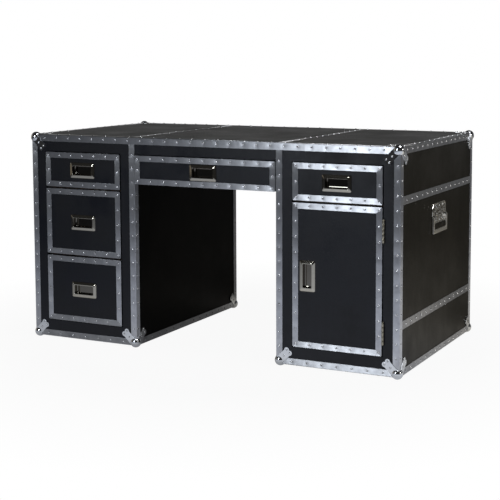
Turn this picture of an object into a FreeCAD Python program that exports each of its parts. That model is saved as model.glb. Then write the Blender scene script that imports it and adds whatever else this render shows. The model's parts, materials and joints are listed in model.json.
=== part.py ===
import FreeCAD, Part
import math
import os

import Sketcher

# A trunk style writing desk: two leather covered pedestals under one top, every edge capped with riveted
# aluminium angle, every outer corner with a ball corner. Five drawers slide out of the front, a cupboard
# door swings on two hinges, and a lifting handle hangs on each side.
# Frame: millimetres, origin on the floor under the middle of the desk, +Z up, the front faces -Y.

# Driving dimensions, all in millimetres unless the name ends in count, angle or share
SIZES = {
    # Body, measured over the aluminium
    "body_width": 1463, "body_depth": 775, "body_height": 760, "pedestal_width": 450,
    # Boards and edge metal
    "board": 18, "face_board": 20, "divider_board": 12,
    "strip": 1.5, "strip_width": 24, "top_strip_height": 25,
    "band_width": 28, "upper_band_drop": 177, "lower_band_rise": 171,
    # Ball corners
    "ball_radius": 19.5, "ball_inset": 11.5, "foot_flat": 0.5,
    "leg_reach": 66, "leg_neck": 28, "leg_thickness": 2, "lobe_radius": 9, "lobe_offset": 7.5,
    "leg_rivet_reach": 44,
    # Drawer fronts and door
    "front_board": 18, "front_proud": 2, "front_gap": 3, "row_gap": 7, "front_bottom": 66, "front_top": 64,
    "stile_width": 63, "shallow_drawer_height": 128,
    "centre_drawer_height": 103.5, "centre_gap": 1.5, "trim_width": 21, "front_corner": 4,
    # Drawer boxes and the runners in their side grooves
    "box_side": 12, "box_bottom": 6, "box_bottom_lift": 5, "box_back_gap": 58,
    "box_inset": 6, "centre_box_inset": 14, "box_low_inset": 13, "box_high_inset": 20,
    "runner_height": 14, "runner_rise": 30, "groove_depth": 7, "runner_clear": 0.3,
    # Recessed pulls
    "pull_length": 106, "pull_height": 57, "pull_rim": 12, "pull_ridge": 2.5, "pull_raise": 5,
    "pull_corner": 6, "pull_edge": 1.5, "pan_depth": 13, "pan_wall": 1.2, "pan_clear": 0.3,
    "door_pull_inset": 56,
    # Rivets
    "rivet_radius": 3.75, "rivet_height": 2.2, "rivet_pitch": 51.5, "upright_pitch": 49,
    "rivet_start": 58, "upright_start": 61.5, "rivet_line": 12, "trim_rivet_line": 11,
    # Door hinges
    "hinge_length": 76, "hinge_inset": 78,
    "knuckle_radius": 4, "knuckle_gap": 0.3, "hinge_pin_radius": 1.6, "hinge_pin_clear": 0.05,
    "leaf": 1.2, "pin_head": 1.2, "pin_head_radius": 2.6,
    # Cupboard shelf and catch
    "shelf_drop": 24, "shelf_setback": 20, "shelf_clear": 0.3, "cleat": 16,
    "catch_length": 44, "catch_depth": 26, "catch_height": 12, "catch_inset": 30, "strike": 1.5,
    "catch_gap": 0.3,
    # Side handles
    "handle_drop": 222, "plate_width": 128, "plate_height": 71, "plate": 2.5, "plate_chamfer": 16,
    "plate_rivet_inset": 11, "plate_rivet_spread": 36,
    "ear_width": 6, "ear_height": 14, "shoulder_gap": 2, "pivot_drop": 49, "trunnion_radius": 1.8,
    "trunnion_clear": 0.06, "bail_gap": 0.4, "bail_leg": 9, "bail_thickness": 6.5, "bail_drop": 56,
    "grip_height": 13, "bail_round": 2, "wall_clear": 1.5,
    # Length by which cutting shapes run past what they cut
    "overrun": 5,
}

# Places worked out from the driving dimensions; each may use the ones before it
PLACES = {
    "half_width": "body_width / 2",
    "half_depth": "body_depth / 2",
    "lift": "ball_radius - ball_inset - foot_flat",
    "body_top": "lift + body_height",
    "front_face": "strip - half_depth",
    "back_face": "half_depth - strip",
    "side_face": "half_width - strip",
    "knee_edge": "half_width - pedestal_width",
    "knee_face": "knee_edge + strip",
    "pedestal_centre": "half_width - pedestal_width / 2",
    "base_low": "lift + strip",
    "base_high": "base_low + board",
    "deck_low": "body_top - top_strip_height",
    "deck_high": "body_top - strip",
    "frame_back": "front_face + face_board",
    "panel_front": "back_face - board",
    "side_inner": "side_face - board",
    "knee_inner": "knee_face + board",
    # Rows of fronts, from the bottom up
    "drawer_width": "pedestal_width - 2 * stile_width",
    "fronts_low": "lift + front_bottom",
    "fronts_high": "body_top - front_top",
    "deep_drawer_height": "(fronts_high - fronts_low - shallow_drawer_height - 2 * row_gap) / 2",
    "middle_low": "fronts_low + deep_drawer_height + row_gap",
    "upper_low": "middle_low + deep_drawer_height + row_gap",
    "centre_low": "fronts_high - centre_drawer_height",
    "door_height": "2 * deep_drawer_height + row_gap",
    "centre_width": "2 * knee_edge - 2 * centre_gap",
    "front_plane": "front_face - front_proud",
    "front_back": "front_plane + front_board",
    "trim_plane": "front_plane - strip",
    "box_back": "panel_front - box_back_gap",
    # Bands across the sides
    "upper_band_level": "body_top - upper_band_drop",
    "lower_band_level": "lift + lower_band_rise",
    # Door and its hinge line
    "door_left": "pedestal_centre - drawer_width / 2",
    "door_right": "pedestal_centre + drawer_width / 2",
    "hinge_x": "door_right + knuckle_radius + knuckle_gap",
    "hinge_y": "trim_plane - leaf",
    "knuckle_length": "(hinge_length - 4 * knuckle_gap) / 5",
    "upper_hinge_level": "fronts_low + door_height - hinge_inset",
    "lower_hinge_level": "fronts_low + hinge_inset",
    "shelf_low": "fronts_low + door_height / 2 - shelf_drop",
    # Slope of the pulls' rims
    "pull_slope": "pull_rim - pull_ridge",
    "pull_spread": "pull_slope * pull_edge / (pull_raise - pull_edge)",
    # Back of the pulls
    "pan_back": "pan_depth + pan_wall",
    # Side handle
    "handle_top": "body_top - handle_drop",
    "pivot_height": "handle_top - pivot_drop",
    "pivot_out": "side_face + wall_clear + bail_thickness / 2",
    "ear_face": "plate_width / 2",
    "bail_inner": "ear_face + bail_gap",
    "bail_outer": "bail_inner + bail_leg",
    "shoulder_low": "pivot_height + bail_thickness / 2 + shoulder_gap",
}

doc = FreeCAD.newDocument("Desk")


def fill_sheet(name, cells):
    """Write named cells into a new sheet, one row each, with the name as alias."""
    sheet = doc.addObject("Spreadsheet::Sheet", name)
    for row, (alias, text) in enumerate(cells.items(), start=1):
        sheet.set(f"A{row}", alias)
        sheet.set(f"B{row}", text)
        sheet.setAlias(f"B{row}", alias)
    doc.recompute()
    return sheet


def bound(text):
    """Give every size and place named in an expression its sheet."""
    words = []
    word = ""
    for letter in text + " ":
        if letter.isalnum() or letter == "_":
            word += letter
            continue
        if word in SIZES:
            word = "Sizes." + word
        elif word in PLACES:
            word = "Places." + word
        words.append(word + letter)
        word = ""
    return "".join(words).strip()


sizes = fill_sheet("Sizes", {name: str(number) for name, number in SIZES.items()})
places = fill_sheet("Places", {name: "=" + bound(text) for name, text in PLACES.items()})


def value(name):
    """The number that a sheet holds under a name."""
    sheet = sizes if name in SIZES else places
    return float(sheet.get(name))


nodes = {}


def node(label, item):
    """Take an object as the sub-part that a label names."""
    item.Label = label
    nodes[label] = item
    return item


# Building blocks


def board(name, x, y, z):
    """A box between two expressions along each axis."""
    box = doc.addObject("Part::Box", name)
    for axis, side, (low, high) in zip("xyz", ("Length", "Width", "Height"), (x, y, z)):
        box.setExpression("Placement.Base." + axis, bound(low))
        box.setExpression(side, bound(f"({high}) - ({low})"))
    return box


def across(side, near, far):
    """A span on the right half of the desk, or its mirror image on the left."""
    if side == "right":
        return near, far
    return f"-({far})", f"-({near})"


def centred(middle, length):
    """A span of one length about a middle."""
    return f"{middle} - ({length}) / 2", f"{middle} + ({length}) / 2"


def group(name, items):
    """Several separate solids kept together."""
    bundle = doc.addObject("Part::Compound", name)
    bundle.Links = items
    return bundle


def cut(name, base, tool):
    """One object less another."""
    result = doc.addObject("Part::Cut", name)
    result.Base = base
    result.Tool = tool
    return result


def common(name, base, tool):
    """What two objects share."""
    result = doc.addObject("Part::Common", name)
    result.Base = base
    result.Tool = tool
    return result


def fuse(name, items):
    """Several objects made one solid."""
    result = doc.addObject("Part::MultiFuse", name)
    result.Shapes = items
    result.Refine = True
    return result


def cylinder(name, radius, length, x, y, z, axis):
    """A round bar from a starting point along an axis."""
    bar = doc.addObject("Part::Cylinder", name)
    bar.setExpression("Radius", bound(radius))
    bar.setExpression("Height", bound(length))
    turn = FreeCAD.Rotation(FreeCAD.Vector(0, 0, 1), axis)
    bar.Placement = FreeCAD.Placement(FreeCAD.Vector(0, 0, 0), turn)
    for letter, text in zip("xyz", (x, y, z)):
        bar.setExpression("Placement.Base." + letter, bound(text))
    return bar


def feature(name, shape):
    """An object that holds a shape worked out here."""
    item = doc.addObject("Part::Feature", name)
    item.Shape = shape
    return item


def new_body(name):
    """An empty body, with its origin planes by role."""
    body = doc.addObject("PartDesign::Body", name)
    planes = {plane.Role: plane for plane in body.Origin.OriginFeatures}
    return body, planes


def outline(body, plane, name, points):
    """A closed sketch whose corners are held at pairs of expressions."""
    sketch = body.newObject("Sketcher::SketchObject", name)
    sketch.AttachmentSupport = [(plane, "")]
    sketch.MapMode = "FlatFace"
    count = len(points)
    around = [FreeCAD.Vector(math.cos(2 * math.pi * k / count), math.sin(2 * math.pi * k / count), 0)
              for k in range(count)]
    for k in range(count):
        sketch.addGeometry(Part.LineSegment(around[k], around[(k + 1) % count]))
    for k in range(count):
        sketch.addConstraint(Sketcher.Constraint("Coincident", k, 2, (k + 1) % count, 1))
    for k, pair in enumerate(points):
        for kind, text in zip(("DistanceX", "DistanceY"), pair):
            held = sketch.addConstraint(Sketcher.Constraint(kind, -1, 1, k, 1, 1.0))
            sketch.setExpression(f"Constraints[{held}]", bound(text))
    return sketch


def pad(body, sketch, name, length, both_ways=False):
    """Raise a sketch into a solid."""
    raised = body.newObject("PartDesign::Pad", name)
    raised.Profile = sketch
    raised.Midplane = both_ways
    raised.setExpression("Length", bound(length))
    body.Tip = raised
    return raised


def rounded_plate(name, x, z, back, thickness, radius):
    """A plate with rounded corners, raised forwards from the plane of its back."""
    body, planes = new_body(name)
    (west, east), (south, north) = x, z
    sketch = outline(body, planes["XZ_Plane"], name + "Outline",
                     [(west, south), (east, south), (east, north), (west, north)])
    raised = pad(body, sketch, name + "Pad", thickness)
    body.setExpression("Placement.Base.y", bound(back))
    doc.recompute()
    rounded = body.newObject("PartDesign::Fillet", name + "Corners")
    rounded.Base = (raised, [f"Edge{k}" for k, edge in enumerate(raised.Shape.Edges, start=1)
                             if abs(edge.tangentAt(edge.FirstParameter).y) > 0.5])
    rounded.setExpression("Radius", bound(radius))
    body.Tip = rounded
    return body, rounded


# Carcass boards


def carcass():
    """Top board, sides, bases, backs, face frame and dividers."""
    depth = ("frame_back", "panel_front")
    upright = ("base_high", "deck_low")
    face = ("front_face", "frame_back")
    node("top_board", board("TopBoard", ("-side_face", "side_face"), ("front_face", "back_face"),
                            ("deck_low", "deck_high")))
    bases, backs, frame, dividers = [], [], [], []
    for side in ("left", "right"):
        node(f"{side}_outer_side", board(f"{side}OuterSide", across(side, "side_inner", "side_face"),
                                         depth, upright))
        node(f"{side}_inner_side", board(f"{side}InnerSide", across(side, "knee_face", "knee_inner"),
                                         depth, upright))
        whole = across(side, "knee_face", "side_face")
        bases.append(board(f"{side}Base", whole, ("front_face", "back_face"), ("base_low", "base_high")))
        backs.append(board(f"{side}Back", whole, ("panel_front", "back_face"), upright))
        near = "door_left - front_gap"
        far = "door_right + front_gap"
        frame.append(board(f"{side}InnerStile", across(side, "knee_face", near), face, upright))
        frame.append(board(f"{side}OuterStile", across(side, far, "side_face"), face, upright))
        frame.append(board(f"{side}TopRail", across(side, near, far), face,
                           ("fronts_high + front_gap", "deck_low")))
        frame.append(board(f"{side}BottomRail", across(side, near, far), face,
                           ("base_high", "fronts_low - front_gap")))
    knee = ("-knee_edge", "knee_edge")
    backs.append(board("BackApron", knee, ("panel_front", "back_face"), ("centre_low", "deck_low")))
    frame.append(board("CentreRail", knee, face, ("fronts_high + front_gap", "deck_low")))
    for name, side, row in (("LowDivider", "left", "middle_low"), ("HighDivider", "left", "upper_low"),
                            ("CupboardTop", "right", "upper_low")):
        dividers.append(board(name, across(side, "knee_inner", "side_inner"), depth,
                              centred(f"{row} - row_gap / 2", "divider_board")))
    node("pedestal_bases", group("PedestalBases", bases))
    node("back_panels", group("BackPanels", backs))
    node("face_frame", group("FaceFrame", frame))
    node("drawer_dividers", group("DrawerDividers", dividers))


def desktop():
    """Three leather panels and the two metal strips between them."""
    inside = ("strip_width - half_depth", "half_depth - strip_width")
    level = ("deck_high", "body_top")
    strips, panels = [], []
    for side in ("left", "right"):
        strips.append(board(f"{side}Divider", across(side, "knee_edge", "knee_edge + strip_width"),
                            inside, level))
        panels.append(board(f"{side}Leather", across(side, "knee_edge + strip_width",
                                                     "half_width - strip_width"), inside, level))
    panels.append(board("CentreLeather", ("-knee_edge", "knee_edge"), inside, level))
    node("top_divider_strips", group("TopDividers", strips))
    node("top_leather_panels", group("TopLeather", panels))


# Edge metal


def box_shape(low, high):
    """A box between two corners."""
    size = high - low
    return Part.makeBox(size.x, size.y, size.z, low)


def mitre_wedges(low, high, reach, bottom, top):
    """Four prisms that part a rectangular ring along the diagonals of its corners."""
    corners = [(low.x, low.y), (high.x, low.y), (high.x, high.y), (low.x, high.y)]
    inner = [(low.x + reach, low.y + reach), (high.x - reach, low.y + reach),
             (high.x - reach, high.y - reach), (low.x + reach, high.y - reach)]
    wedges = []
    for k in range(4):
        after = (k + 1) % 4
        ring = [corners[k], corners[after], inner[after], inner[k], corners[k]]
        wire = Part.makePolygon([FreeCAD.Vector(x, y, bottom) for x, y in ring])
        wedges.append(Part.Face(wire).extrude(FreeCAD.Vector(0, 0, top - bottom)))
    return wedges


def angle_ring(name, low, high, flange_at_top):
    """A ring of four mitred angles round the edge of a flat face, between two corners."""
    strip = value("strip")
    flange = value("strip_width")
    over = value("overrun")
    shell = box_shape(low, high)
    inset = FreeCAD.Vector(strip, strip, 0)
    sheet = FreeCAD.Vector(0, 0, strip)
    past = FreeCAD.Vector(0, 0, over)
    flanges = FreeCAD.Vector(flange, flange, 0)
    if flange_at_top:
        hollow = box_shape(low + inset - past, high - inset - sheet)
    else:
        hollow = box_shape(low + inset + sheet, high - inset + past)
    opening = box_shape(low + flanges - past, high - flanges + past)
    ring = shell.cut(hollow).cut(opening)
    wedges = mitre_wedges(low, high, flange + over, low.z, high.z)
    return feature(name, Part.makeCompound([ring.common(wedge) for wedge in wedges]))


def corner_angle(name, side, x_edge, inward, front):
    """An upright angle on one edge of a pedestal, its flanges turned inwards."""
    z_span = ("lift + strip_width", "deck_low")
    step = "strip" if inward == "out" else "-strip"
    reach = "strip_width" if inward == "out" else "-strip_width"

    def ordered(first, second):
        return (first, second) if inward == "out" else (second, first)

    x_outer = across(side, *ordered(x_edge, f"{x_edge} + {reach}"))
    x_core = across(side, *ordered(f"{x_edge} + {step}", f"{x_edge} + 2 * ({reach})"))
    if front:
        y_outer = ("-half_depth", "strip_width - half_depth")
        y_core = ("front_face", "2 * strip_width - half_depth")
    else:
        y_outer = ("half_depth - strip_width", "half_depth")
        y_core = ("half_depth - 2 * strip_width", "back_face")
    outer = board(name + "Outer", x_outer, y_outer, z_span)
    core = board(name + "Core", x_core, y_core, (f"{z_span[0]} - overrun", f"{z_span[1]} + overrun"))
    return cut(name, outer, core)


def edge_metal():
    """Angles round the top and the pedestals, and the bands across the sides."""
    half_width, half_depth = value("half_width"), value("half_depth")
    knee_edge, lift = value("knee_edge"), value("lift")
    node("top_edge_trim", angle_ring("TopEdge", FreeCAD.Vector(-half_width, -half_depth, value("deck_low")),
                                     FreeCAD.Vector(half_width, half_depth, value("body_top")), True))
    bands = []
    for side in ("left", "right"):
        near, far = (knee_edge, half_width) if side == "right" else (-half_width, -knee_edge)
        pieces = [angle_ring(f"{side}BaseEdge", FreeCAD.Vector(near, -half_depth, lift),
                             FreeCAD.Vector(far, half_depth, lift + value("strip_width")), False)]
        for front in (True, False):
            end = "Front" if front else "Rear"
            pieces.append(corner_angle(f"{side}Outer{end}Angle", side, "half_width", "in", front))
            pieces.append(corner_angle(f"{side}Inner{end}Angle", side, "knee_edge", "out", front))
        node(f"{side}_edge_angles", group(f"{side}Angles", pieces))
        for level in ("upper_band_level", "lower_band_level"):
            bands.append(board(f"{side}{level}", across(side, "side_face", "half_width"),
                               ("strip_width - half_depth", "half_depth - strip_width"),
                               centred(level, "band_width")))
    node("side_bands", group("SideBands", bands))


def leg_shape(depth):
    """One leg of a ball corner: a neck along the diagonal with two round lobes at its end."""
    reach, neck = value("leg_reach"), value("leg_neck")
    radius, offset = value("lobe_radius"), value("lobe_offset")
    shape = Part.makeBox(reach - neck / 2, neck, depth, FreeCAD.Vector(neck / 2, -neck / 2, 0))
    for across_leg in (-offset, offset):
        shape = shape.fuse(Part.makeCylinder(radius, depth, FreeCAD.Vector(reach, across_leg, 0)))
    shape = shape.removeSplitter()
    shape.rotate(FreeCAD.Vector(0, 0, 0), FreeCAD.Vector(0, 0, 1), 45)
    return shape


def ball_corner(wall_height, panel_level):
    """A ball corner for a body that fills the space where x, y and z are positive."""
    strip, width = value("strip"), value("strip_width")
    inset, radius = value("ball_inset"), value("ball_radius")
    depth = strip + value("leg_thickness")
    far = value("leg_reach") + radius
    ball = Part.makeSphere(radius, FreeCAD.Vector(inset, inset, inset))
    origin = FreeCAD.Vector(0, 0, 0)
    for turns in range(3):
        leg = leg_shape(depth)
        leg.translate(FreeCAD.Vector(0, 0, strip - depth))
        leg.rotate(origin, FreeCAD.Vector(1, 1, 1), 120 * turns)
        ball = ball.fuse(leg)
    filled = [
        box_shape(FreeCAD.Vector(strip, strip, strip), FreeCAD.Vector(far, far, far)),
        box_shape(origin, FreeCAD.Vector(far, width, wall_height)),
        box_shape(origin, FreeCAD.Vector(width, far, wall_height)),
        box_shape(origin, FreeCAD.Vector(width, width, far)),
        box_shape(FreeCAD.Vector(width, width, panel_level), FreeCAD.Vector(far, far, far)),
    ]
    for block in filled:
        ball = ball.cut(block)
    return ball.removeSplitter()


def corner_places():
    """Every outer corner: its point, and which way x, y and z lead into the body."""
    half_width, half_depth = value("half_width"), value("half_depth")
    knee_edge = value("knee_edge")
    spots = []
    for right in (-1, 1):
        for rear in (-1, 1):
            spots.append((right * half_width, rear * half_depth, value("body_top"), -right, -rear, -1))
            spots.append((right * half_width, rear * half_depth, value("lift"), -right, -rear, 1))
            spots.append((right * knee_edge, rear * half_depth, value("lift"), right, -rear, 1))
    return spots


def into_corner(shape, spot):
    """Turn a shape made at the origin corner to face into another corner."""
    x, y, z, x_way, y_way, z_way = spot
    matrix = FreeCAD.Matrix(x_way, 0, 0, x, 0, y_way, 0, y, 0, 0, z_way, z, 0, 0, 0, 1)
    return shape.transformShape(matrix, True)


def ball_corners():
    """The ball corners, those underneath cut flat where they stand."""
    low = ball_corner(value("strip_width"), value("strip"))
    high = ball_corner(value("top_strip_height"), 0)
    span = value("body_width") + value("body_depth")
    below = Part.makeBox(2 * span, 2 * span, span, FreeCAD.Vector(-span, -span, -span))
    made = []
    for spot in corner_places():
        shape = (high if spot[5] < 0 else low).copy()
        made.append(into_corner(shape, spot).cut(below))
    node("ball_corners", feature("BallCorners", Part.makeCompound(made)))


# Fronts and pulls

# Each drawer front: its middle across the desk, its width, its lower edge and its height
DRAWERS = {
    "left_top_drawer": ("-pedestal_centre", "drawer_width", "upper_low", "shallow_drawer_height"),
    "left_middle_drawer": ("-pedestal_centre", "drawer_width", "middle_low", "deep_drawer_height"),
    "left_bottom_drawer": ("-pedestal_centre", "drawer_width", "fronts_low", "deep_drawer_height"),
    "centre_drawer": ("0", "centre_width", "centre_low", "centre_drawer_height"),
    "right_drawer": ("pedestal_centre", "drawer_width", "upper_low", "shallow_drawer_height"),
}


def pull(name, x, z, upright):
    """A recessed pull: a rim that slopes down to a thin outer edge, and a pan let into the front."""
    wide, tall = ("pull_height", "pull_length") if upright else ("pull_length", "pull_height")
    plate = rounded_plate(name + "Plate", centred(x, wide), centred(z, tall), "front_plane",
                          "pull_raise", "pull_corner")[0]
    slope = doc.addObject("Part::Wedge", name + "Slope")
    for letter, length in (("X", wide), ("Z", tall)):
        for end, sign in (("min", "-"), ("max", "")):
            slope.setExpression(letter + end, bound(f"{sign}({length} / 2 - pull_slope)"))
            slope.setExpression(letter + "2" + end, bound(f"{sign}({length} / 2 + pull_spread)"))
    slope.setExpression("Ymin", bound("-pull_raise"))
    slope.Ymax = 0
    for letter, text in zip("xyz", (x, "front_plane", z)):
        slope.setExpression("Placement.Base." + letter, bound(text))
    pan = board(name + "Pan", centred(x, f"{wide} - 2 * pull_rim + 2 * pan_wall"),
                ("front_plane", "front_plane + pan_back"),
                centred(z, f"{tall} - 2 * pull_rim + 2 * pan_wall"))
    hollow = board(name + "Hollow", centred(x, f"{wide} - 2 * pull_rim"),
                   ("front_plane - pull_raise - pull_edge", "front_plane + pan_depth"),
                   centred(z, f"{tall} - 2 * pull_rim"))
    rim = common(name + "Rim", plate, slope)
    return cut(name, fuse(name + "Solid", [rim, pan]), hollow)


def recessed_front(name, x, z, pull_x, pull_z, upright):
    """A front board with the pocket that the pan of its pull sits in."""
    wide, tall = ("pull_height", "pull_length") if upright else ("pull_length", "pull_height")
    room = "- 2 * pull_rim + 2 * pan_wall + 2 * pan_clear"
    slab, _ = rounded_plate(name + "Slab", x, z, "front_back", "front_board", "front_corner")
    pocket = board(name + "Pocket", centred(pull_x, f"{wide} {room}"),
                   ("front_plane - overrun", "front_plane + pan_back + pan_clear"),
                   centred(pull_z, f"{tall} {room}"))
    return cut(name, slab, pocket)


def mitred_trim(name, x, z):
    """Four mitred strips round the edge of a front, rounded at its corners."""
    west, east = x
    south, north = z
    outer = [(west, south), (east, south), (east, north), (west, north)]
    inner_x = (f"{west} + trim_width", f"{east} - trim_width")
    inner_z = (f"{south} + trim_width", f"{north} - trim_width")
    inner = [(inner_x[0], inner_z[0]), (inner_x[1], inner_z[0]), (inner_x[1], inner_z[1]),
             (inner_x[0], inner_z[1])]
    plate, _ = rounded_plate(name + "Plate", x, z, "front_plane", "strip", "front_corner")
    strips = []
    for k in range(4):
        after = (k + 1) % 4
        body, planes = new_body(f"{name}Bar{k}")
        sketch = outline(body, planes["XZ_Plane"], f"{name}Outline{k}",
                         [outer[k], outer[after], inner[after], inner[k]])
        pad(body, sketch, f"{name}Pad{k}", "strip")
        body.setExpression("Placement.Base.y", bound("front_plane"))
        strips.append(common(f"{name}Strip{k}", body, plate))
    return group(name, strips)


def drawer_box(name, middle, half, low, high):
    """Two grooved sides, a back and a bottom behind a drawer front."""
    length = ("front_back", "box_back")
    groove_z = (f"{low} + runner_rise - runner_clear",
                f"{low} + runner_rise + runner_height + runner_clear")
    groove_y = ("front_back - overrun", "box_back + overrun")
    west_x = f"{middle} - ({half})"
    east_x = f"{middle} + ({half})"
    west = board(name + "West", (west_x, f"{west_x} + box_side"), length, (low, high))
    west_groove = board(name + "WestGroove", (f"{west_x} - overrun", f"{west_x} + groove_depth"),
                        groove_y, groove_z)
    east = board(name + "East", (f"{east_x} - box_side", east_x), length, (low, high))
    east_groove = board(name + "EastGroove", (f"{east_x} - groove_depth", f"{east_x} + overrun"),
                        groove_y, groove_z)
    inside = (f"{west_x} + box_side", f"{east_x} - box_side")
    rear = board(name + "Rear", inside, ("box_back - box_side", "box_back"), (low, high))
    floor = board(name + "Floor", inside, ("front_back", "box_back - box_side"),
                  (f"{low} + box_bottom_lift", f"{low} + box_bottom_lift + box_bottom"))
    sides = [cut(name + "WestSide", west, west_groove), cut(name + "EastSide", east, east_groove)]
    return group(name, sides + [rear, floor])


def runner_pair(name, drawer, half, low):
    """The two bars, fixed to the carcass, that a drawer's side grooves run on."""
    middle = DRAWERS[drawer][0]
    tip = "groove_depth - runner_clear"
    level = (f"{low} + runner_rise", f"{low} + runner_rise + runner_height")
    if drawer == "centre_drawer":
        walls = ("-knee_face", "knee_face")
        length = ("strip_width - half_depth", "half_depth - strip_width")
    else:
        walls = across("left" if drawer.startswith("left") else "right", "knee_inner", "side_inner")
        length = ("frame_back", "panel_front")
    return [board(name + "West", (walls[0], f"{middle} - ({half}) + {tip}"), length, level),
            board(name + "East", (f"{middle} + ({half}) - ({tip})", walls[1]), length, level)]


def drawers():
    """Every drawer's front, trim, pull and box, and the runners in the carcass."""
    runners = []
    for drawer, (middle, width, low, height) in DRAWERS.items():
        name = "".join(word.title() for word in drawer.split("_"))
        x = centred(middle, width)
        z = (low, f"{low} + {height}")
        centre_z = f"{low} + {height} / 2"
        inset = "centre_box_inset" if drawer == "centre_drawer" else "box_inset"
        half = f"{width} / 2 - {inset}"
        box_low = f"{low} + box_low_inset"
        node(f"{drawer}_front", recessed_front(name + "Front", x, z, middle, centre_z, False))
        node(f"{drawer}_trim", mitred_trim(name + "Trim", x, z))
        node(f"{drawer}_pull", pull(name + "Pull", middle, centre_z, False))
        node(f"{drawer}_box", drawer_box(name + "Box", middle, half, box_low,
                                         f"{low} + {height} - box_high_inset"))
        runners += runner_pair(name + "Runner", drawer, half, box_low)
    node("drawer_runners", group("DrawerRunners", runners))


# Door, hinges, catch and shelf


def hinge(name, level):
    """One butt hinge: a leaf on the door's edge, a leaf on the stile's edge, and their pin."""
    low = f"{level} - hinge_length / 2"
    step = "(knuckle_length + knuckle_gap)"
    up = FreeCAD.Vector(0, 0, 1)
    whole = (low, f"{low} + hinge_length")
    edge = ("door_right", "door_right + leaf")
    jamb = ("door_right + front_gap - leaf", "door_right + front_gap")
    tab_y = ("hinge_y", "hinge_y + knuckle_radius + knuckle_gap + leaf")
    fixed = [board(name + "FixedPlate", jamb, ("hinge_y + knuckle_radius + knuckle_gap", "frame_back"),
                   whole)]
    swung = [board(name + "SwungPlate", edge, ("hinge_y + knuckle_radius + knuckle_gap", "front_back"),
                   whole)]
    for k in range(5):
        span = (f"{low} + {k} * {step}", f"{low} + {k} * {step} + knuckle_length")
        knuckle = cylinder(f"{name}Knuckle{k}", "knuckle_radius", "knuckle_length", "hinge_x", "hinge_y",
                           span[0], up)
        if k % 2:
            swung += [knuckle, board(f"{name}Tab{k}", edge, tab_y, span)]
        else:
            fixed += [knuckle, board(f"{name}Tab{k}", jamb, tab_y, span)]

    def bored(part, items):
        bore = cylinder(f"{name}{part}Bore", "hinge_pin_radius + hinge_pin_clear",
                        "hinge_length + 2 * overrun", "hinge_x", "hinge_y", f"{low} - overrun", up)
        return cut(f"{name}{part}", fuse(f"{name}{part}Solid", items), bore)

    pin = fuse(name + "Pin", [
        cylinder(name + "PinRod", "hinge_pin_radius", "hinge_length", "hinge_x", "hinge_y", low, up),
        cylinder(name + "PinFoot", "pin_head_radius", "pin_head", "hinge_x", "hinge_y",
                 f"{low} - pin_head", up),
        cylinder(name + "PinCap", "pin_head_radius", "pin_head", "hinge_x", "hinge_y",
                 f"{low} + hinge_length", up),
    ])
    return bored("FixedLeaf", fixed), bored("SwungLeaf", swung), pin


def cupboard():
    """The door with its pull, hinges and catch, and the shelf behind it."""
    x = ("door_left", "door_right")
    z = ("fronts_low", "fronts_low + door_height")
    pull_x = "door_left + door_pull_inset"
    pull_z = "fronts_low + door_height / 2"
    node("door_panel", recessed_front("DoorPanel", x, z, pull_x, pull_z, True))
    node("door_trim", mitred_trim("DoorTrim", x, z))
    node("door_pull", pull("DoorPull", pull_x, pull_z, True))
    upper = hinge("UpperHinge", "upper_hinge_level")
    lower = hinge("LowerHinge", "lower_hinge_level")
    for label, pair in zip(("hinge_frame_leaves", "hinge_door_leaves", "hinge_pins"), zip(upper, lower)):
        node(label, group("".join(word.title() for word in label.split("_")), list(pair)))
    catch_x = ("door_left + catch_inset", "door_left + catch_inset + catch_length")
    ceiling = "upper_low - row_gap / 2 - divider_board / 2"
    catch_z = (f"{ceiling} - catch_height", ceiling)
    catch_front = "front_back + strike + catch_gap"
    node("door_strike", board("DoorStrike", catch_x, ("front_back", "front_back + strike"), catch_z))
    node("magnet_catch", board("MagnetCatch", catch_x, (catch_front, f"{catch_front} + catch_depth"),
                               catch_z))
    shelf_y = ("frame_back + shelf_setback", "panel_front - shelf_clear")
    node("cupboard_shelf", board("CupboardShelf", ("knee_inner + shelf_clear", "side_inner - shelf_clear"),
                                 shelf_y, ("shelf_low", "shelf_low + board")))
    cleat_z = ("shelf_low - cleat", "shelf_low")
    node("shelf_cleats", group("ShelfCleats", [
        board("InnerCleat", ("knee_inner", "knee_inner + cleat"), shelf_y, cleat_z),
        board("OuterCleat", ("side_inner - cleat", "side_inner"), shelf_y, cleat_z),
    ]))


# Side handles


def handle_plate(side):
    """A plate with chamfered shoulders over the bail, and an ear with a trunnion at each end."""
    body, planes = new_body(side + "PlateSheet")
    low = "handle_top - plate_height"
    half_outline = [
        ("plate_width / 2", low), ("plate_width / 2", "shoulder_low"), ("bail_outer", "shoulder_low"),
        ("bail_outer", "handle_top - plate_chamfer"), ("bail_outer - plate_chamfer", "handle_top"),
    ]
    mirrored = [(f"-({y})", z) for y, z in reversed(half_outline)]
    sketch = outline(body, planes["YZ_Plane"], side + "PlateOutline", half_outline + mirrored)
    pad(body, sketch, side + "PlatePad", "plate")
    body.setExpression("Placement.Base.x", bound(across(side, "side_face", "side_face + plate")[0]))
    pieces = [body]
    pivot_x = across(side, "pivot_out", "pivot_out")[0]
    for end, sign in (("Front", -1), ("Rear", 1)):
        near, far = ("ear_face - ear_width", "ear_face")
        y = (near, far) if sign > 0 else (f"-({far})", f"-({near})")
        pieces.append(board(f"{side}{end}Ear", across(side, "side_face", "pivot_out + bail_thickness / 2"),
                            y, centred("pivot_height", "ear_height")))
        start = "ear_face - ear_width" if sign > 0 else "-(ear_face - ear_width)"
        pieces.append(cylinder(f"{side}{end}Trunnion", "trunnion_radius",
                               "bail_outer - ear_face + ear_width", pivot_x, start, "pivot_height",
                               FreeCAD.Vector(0, sign, 0)))
    return fuse(side + "HandlePlate", pieces)


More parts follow.
